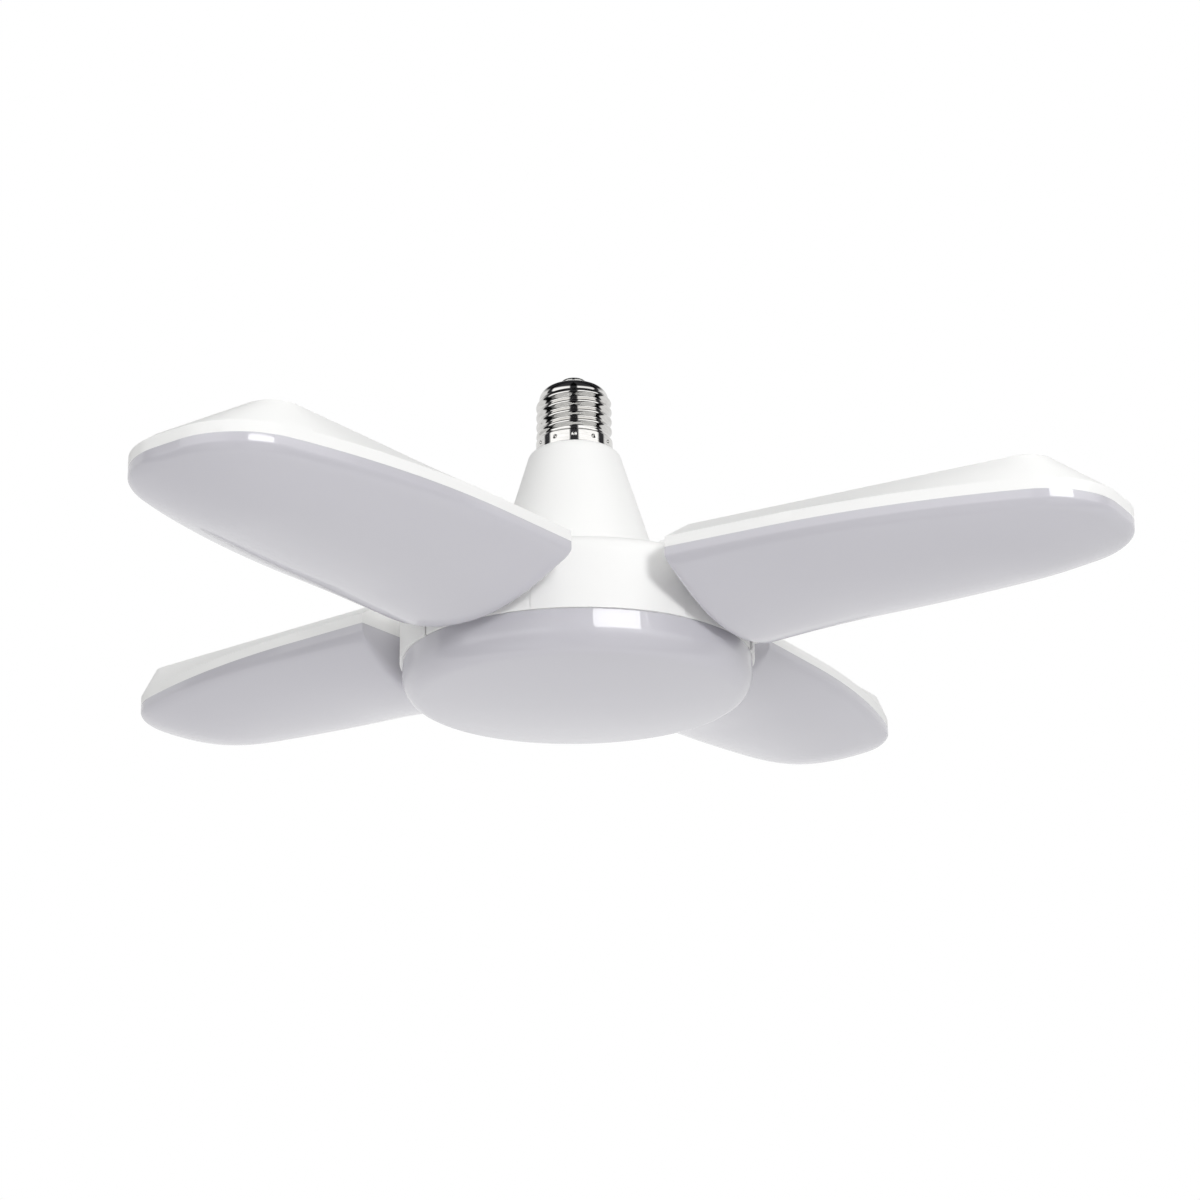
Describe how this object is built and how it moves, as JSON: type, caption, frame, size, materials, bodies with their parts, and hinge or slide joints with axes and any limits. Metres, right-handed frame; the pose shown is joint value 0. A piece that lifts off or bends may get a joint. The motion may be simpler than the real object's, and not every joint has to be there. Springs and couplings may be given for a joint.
{
  "type": "folding garage ceiling light",
  "caption": "Screw-in garage ceiling light: a round lens under a hub drum, with long tapered light petals hinged around it that fold up beside the conical neck.",
  "frame": {"origin": "centre of the screw cap's foot, in the plane where the cap's plain skirt stands on the neck", "axes": "+Z along the lamp's axis, out through the screw cap, which points up when the lamp hangs in a ceiling socket; +X along the first petal and +Y along the second"},
  "size_m": [0.3828, 0.3828, 0.1212],
  "materials": {
    "white_housing": "satin white moulded plastic",
    "milk_diffuser": "frosted milky plastic",
    "cap_metal": "bright nickel-plated sheet",
    "cap_insulator": "glossy white",
    "contact_metal": "bright tinned",
    "steel": "zinc plated",
    "aluminium": "bare sheet",
    "lamp_board": "white coated aluminium",
    "led_phosphor": "yellow resin",
    "circuit_board": "green lacquer",
    "transformer_wrap": "yellow tape",
    "capacitor_sleeve": "dark sleeve",
    "black_epoxy": "dull black",
    "red_lead": "insulated wire",
    "blue_lead": "insulated wire"
  },
  "bodies": {
    "hub": {"screw_shell": "cap_metal", "cap_insulator": "cap_insulator", "centre_contact": "contact_metal", "neck_housing": "white_housing", "neck_screws": "steel", "hub_housing": "white_housing", "hinge_pins": "steel", "hinge_nuts": "steel", "driver_board": "circuit_board", "driver_transformer": "transformer_wrap", "driver_capacitors": "capacitor_sleeve", "driver_bridge": "black_epoxy", "live_lead": "red_lead", "neutral_lead": "blue_lead", "petal_feed_leads": "red_lead", "heat_plate": "aluminium", "centre_board": "lamp_board", "centre_leds": "led_phosphor", "plate_screws": "steel", "centre_lens": "milk_diffuser"},
    "petal_1": {"petal_1_housing": "white_housing", "petal_1_diffuser": "milk_diffuser", "petal_1_board": "lamp_board", "petal_1_leds": "led_phosphor", "petal_1_screws": "steel", "petal_1_washers": "steel", "petal_1_leads": "red_lead"},
    "petal_2": {"petal_2_housing": "white_housing", "petal_2_diffuser": "milk_diffuser", "petal_2_board": "lamp_board", "petal_2_leds": "led_phosphor", "petal_2_screws": "steel", "petal_2_washers": "steel", "petal_2_leads": "red_lead"},
    "petal_3": {"petal_3_housing": "white_housing", "petal_3_diffuser": "milk_diffuser", "petal_3_board": "lamp_board", "petal_3_leds": "led_phosphor", "petal_3_screws": "steel", "petal_3_washers": "steel", "petal_3_leads": "red_lead"},
    "petal_4": {"petal_4_housing": "white_housing", "petal_4_diffuser": "milk_diffuser", "petal_4_board": "lamp_board", "petal_4_leds": "led_phosphor", "petal_4_screws": "steel", "petal_4_washers": "steel", "petal_4_leads": "red_lead"}
  },
  "joints": [
    {"name": "petal_1_fold", "type": "hinge", "parent": "hub", "child": "petal_1", "pos_m": [0.0455, 0, -0.06], "axis": [0, -1, 0], "range_deg": [0, 90]},
    {"name": "petal_2_fold", "type": "hinge", "parent": "hub", "child": "petal_2", "pos_m": [0, 0.0455, -0.06], "axis": [1, 0, 0], "range_deg": [0, 90]},
    {"name": "petal_3_fold", "type": "hinge", "parent": "hub", "child": "petal_3", "pos_m": [-0.0455, 0, -0.06], "axis": [0, 1, 0], "range_deg": [0, 90]},
    {"name": "petal_4_fold", "type": "hinge", "parent": "hub", "child": "petal_4", "pos_m": [0, -0.0455, -0.06], "axis": [-1, 0, 0], "range_deg": [0, 90]}
  ]
}
